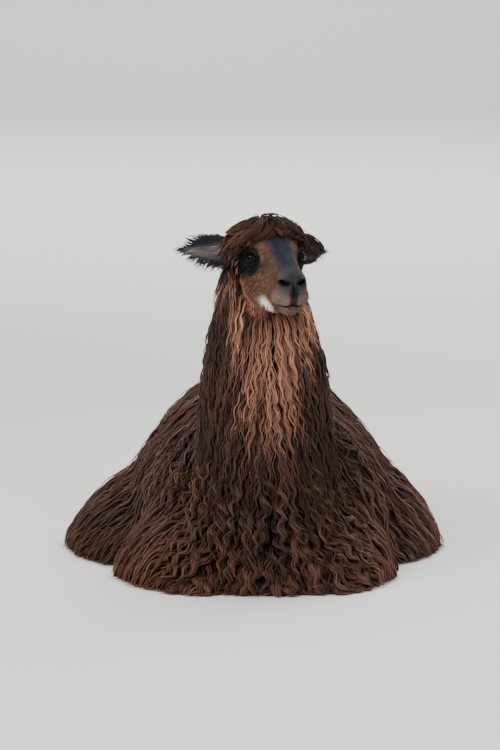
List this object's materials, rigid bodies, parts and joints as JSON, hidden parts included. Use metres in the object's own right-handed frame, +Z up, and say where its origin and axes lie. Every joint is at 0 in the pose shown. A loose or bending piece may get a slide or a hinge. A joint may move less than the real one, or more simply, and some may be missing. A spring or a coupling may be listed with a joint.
{
  "type": "alpaca lying down",
  "caption": "Long-fleeced suri alpaca resting with its legs folded under it, neck upright, ears laid out and back, and head turned a little to its left.",
  "frame": {"origin": "on the floor, under the middle of the animal's length and width", "axes": "+Z up; the animal faces -Y, so +Y runs from its chest to its tail; +X towards the animal's left side"},
  "size_m": [0.832, 1.0434, 0.78],
  "materials": {
    "fleece": "long wavy dark chocolate fleece with a silky sheen",
    "neck_fleece": "long wavy copper brown fleece with a silky sheen",
    "crown_fleece": "long reddish brown forelock",
    "face_coat": "short flat brown hair, slate black down the nose",
    "lip_coat": "very short grey brown hair over dark skin",
    "ear_coat": "short dark hair, thin and pale inside the ear",
    "eye": "wet dark brown eye"
  },
  "bodies": {
    "root": {"trunk": "fleece", "tail": "fleece", "foreleg_left": "fleece", "foreleg_right": "fleece", "hindleg_left": "fleece", "hindleg_right": "fleece", "neck": "neck_fleece", "topknot": "crown_fleece", "head": "face_coat", "lower_jaw": "lip_coat", "ear_left": "ear_coat", "ear_right": "ear_coat", "eye_left": "eye", "eye_right": "eye"}
  },
  "joints": []
}
